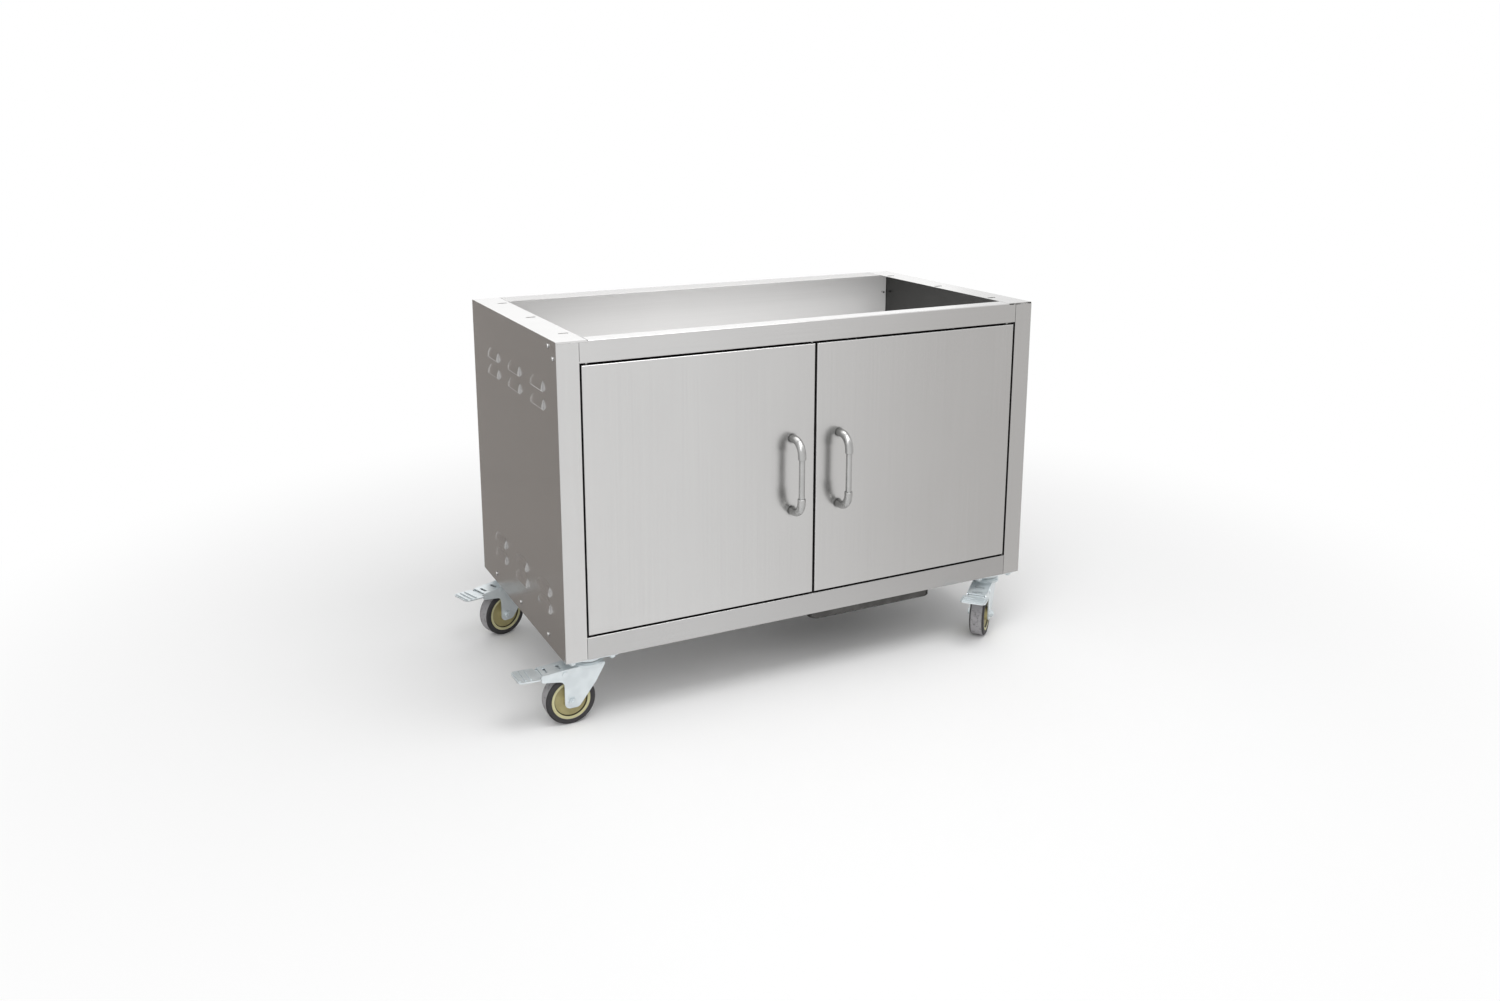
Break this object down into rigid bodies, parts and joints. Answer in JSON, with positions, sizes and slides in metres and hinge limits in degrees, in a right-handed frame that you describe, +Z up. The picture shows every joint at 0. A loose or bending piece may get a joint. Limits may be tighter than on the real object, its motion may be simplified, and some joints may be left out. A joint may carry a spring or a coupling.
{
  "type": "outdoor kitchen cabinet",
  "caption": "Open-topped folded stainless cabinet with a pair of hinged doors, louvred sides and a bottle well, on braked swivel castors, made to carry a built-in grill.",
  "frame": {"origin": "on the floor under the middle of the cabinet box", "axes": "+X to the right as seen from the doors, +Y to the back, +Z up"},
  "size_m": [1.246, 0.641, 0.755],
  "materials": {
    "stainless_sheet": "brushed, satin",
    "handle_steel": "satin",
    "fastener_steel": "bright",
    "castor_zinc": "zinc plated",
    "pedal_zinc": "zinc plated",
    "tyre_rubber": "matte",
    "wheel_core_plastic": "matte",
    "bush_nylon": "matte",
    "catch_case": "matte"
  },
  "bodies": {
    "cabinet": {"left_side_panel": "stainless_sheet", "right_side_panel": "stainless_sheet", "back_panel": "stainless_sheet", "floor_panel": "stainless_sheet", "bottle_well": "stainless_sheet", "front_top_rail": "stainless_sheet", "front_bottom_rail": "stainless_sheet", "door_hinge_pins": "fastener_steel", "door_catch_magnets": "catch_case", "panel_screws": "fastener_steel", "castor_bolts": "castor_zinc", "castor_nuts": "castor_zinc", "castor_kingpins": "castor_zinc", "castor_swivel_balls": "castor_zinc", "castor_front_left_plate": "castor_zinc", "castor_rear_left_plate": "castor_zinc", "castor_front_right_plate": "castor_zinc", "castor_rear_right_plate": "castor_zinc"},
    "left_door": {"left_door_skin": "stainless_sheet", "left_door_liner": "stainless_sheet", "left_hinge_bushes": "bush_nylon", "left_strike_plate": "stainless_sheet", "left_handle_elbows": "handle_steel", "left_handle_bar": "handle_steel", "left_handle_screws": "fastener_steel"},
    "right_door": {"right_door_skin": "stainless_sheet", "right_door_liner": "stainless_sheet", "right_hinge_bushes": "bush_nylon", "right_strike_plate": "stainless_sheet", "right_handle_elbows": "handle_steel", "right_handle_bar": "handle_steel", "right_handle_screws": "fastener_steel"},
    "front_left_swivel": {"castor_front_left_fork": "castor_zinc", "castor_front_left_axle_bolt": "castor_zinc", "castor_front_left_sleeve": "castor_zinc", "castor_front_left_brake_pin": "castor_zinc"},
    "front_left_wheel": {"castor_front_left_wheel_core": "wheel_core_plastic", "castor_front_left_tyre": "tyre_rubber"},
    "front_left_pedal": {"castor_front_left_brake_pedal": "pedal_zinc"},
    "rear_left_swivel": {"castor_rear_left_fork": "castor_zinc", "castor_rear_left_axle_bolt": "castor_zinc", "castor_rear_left_sleeve": "castor_zinc", "castor_rear_left_brake_pin": "castor_zinc"},
    "rear_left_wheel": {"castor_rear_left_wheel_core": "wheel_core_plastic", "castor_rear_left_tyre": "tyre_rubber"},
    "rear_left_pedal": {"castor_rear_left_brake_pedal": "pedal_zinc"},
    "front_right_swivel": {"castor_front_right_fork": "castor_zinc", "castor_front_right_axle_bolt": "castor_zinc", "castor_front_right_sleeve": "castor_zinc", "castor_front_right_brake_pin": "castor_zinc"},
    "front_right_wheel": {"castor_front_right_wheel_core": "wheel_core_plastic", "castor_front_right_tyre": "tyre_rubber"},
    "front_right_pedal": {"castor_front_right_brake_pedal": "pedal_zinc"},
    "rear_right_swivel": {"castor_rear_right_fork": "castor_zinc", "castor_rear_right_axle_bolt": "castor_zinc", "castor_rear_right_sleeve": "castor_zinc", "castor_rear_right_brake_pin": "castor_zinc"},
    "rear_right_wheel": {"castor_rear_right_wheel_core": "wheel_core_plastic", "castor_rear_right_tyre": "tyre_rubber"},
    "rear_right_pedal": {"castor_rear_right_brake_pedal": "pedal_zinc"}
  },
  "joints": [
    {"name": "left_door_hinge", "type": "hinge", "parent": "cabinet", "child": "left_door", "pos_m": [-0.476, -0.275, 0.4485], "axis": [0, 0, -1], "range_deg": [0, 110]},
    {"name": "right_door_hinge", "type": "hinge", "parent": "cabinet", "child": "right_door", "pos_m": [0.476, -0.275, 0.4485], "axis": [0, 0, 1], "range_deg": [0, 110]},
    {"name": "front_left_swivel_turn", "type": "hinge", "parent": "cabinet", "child": "front_left_swivel", "pos_m": [-0.477, -0.239, 0.14], "axis": [0, 0, 1], "continuous": true},
    {"name": "front_left_wheel_spin", "type": "hinge", "parent": "front_left_swivel", "child": "front_left_wheel", "pos_m": [-0.517, -0.239, 0.05], "axis": [0, -1, 0], "continuous": true},
    {"name": "front_left_pedal_press", "type": "hinge", "parent": "front_left_swivel", "child": "front_left_pedal", "pos_m": [-0.529, -0.239, 0.108], "axis": [0, -1, 0], "range_deg": [0, 12]},
    {"name": "rear_left_swivel_turn", "type": "hinge", "parent": "cabinet", "child": "rear_left_swivel", "pos_m": [-0.477, 0.239, 0.14], "axis": [0, 0, 1], "continuous": true},
    {"name": "rear_left_wheel_spin", "type": "hinge", "parent": "rear_left_swivel", "child": "rear_left_wheel", "pos_m": [-0.51504, 0.22664, 0.05], "axis": [0.309, -0.9511, 0], "continuous": true},
    {"name": "rear_left_pedal_press", "type": "hinge", "parent": "rear_left_swivel", "child": "rear_left_pedal", "pos_m": [-0.52646, 0.22293, 0.108], "axis": [0.309, -0.9511, 0], "range_deg": [0, 12]},
    {"name": "front_right_swivel_turn", "type": "hinge", "parent": "cabinet", "child": "front_right_swivel", "pos_m": [0.477, -0.239, 0.14], "axis": [0, 0, 1], "continuous": true},
    {"name": "front_right_wheel_spin", "type": "hinge", "parent": "front_right_swivel", "child": "front_right_wheel", "pos_m": [0.44727, -0.26576, 0.05], "axis": [0.6691, -0.7431, 0], "continuous": true},
    {"name": "front_right_pedal_press", "type": "hinge", "parent": "front_right_swivel", "child": "front_right_pedal", "pos_m": [0.43836, -0.2738, 0.108], "axis": [0.6691, -0.7431, 0], "range_deg": [0, 12]},
    {"name": "rear_right_swivel_turn", "type": "hinge", "parent": "cabinet", "child": "rear_right_swivel", "pos_m": [0.477, 0.239, 0.14], "axis": [0, 0, 1], "continuous": true},
    {"name": "rear_right_wheel_spin", "type": "hinge", "parent": "rear_right_swivel", "child": "rear_right_wheel", "pos_m": [0.517, 0.239, 0.05], "axis": [0, 1, 0], "continuous": true},
    {"name": "rear_right_pedal_press", "type": "hinge", "parent": "rear_right_swivel", "child": "rear_right_pedal", "pos_m": [0.529, 0.239, 0.108], "axis": [0, 1, 0], "range_deg": [0, 12]}
  ]
}
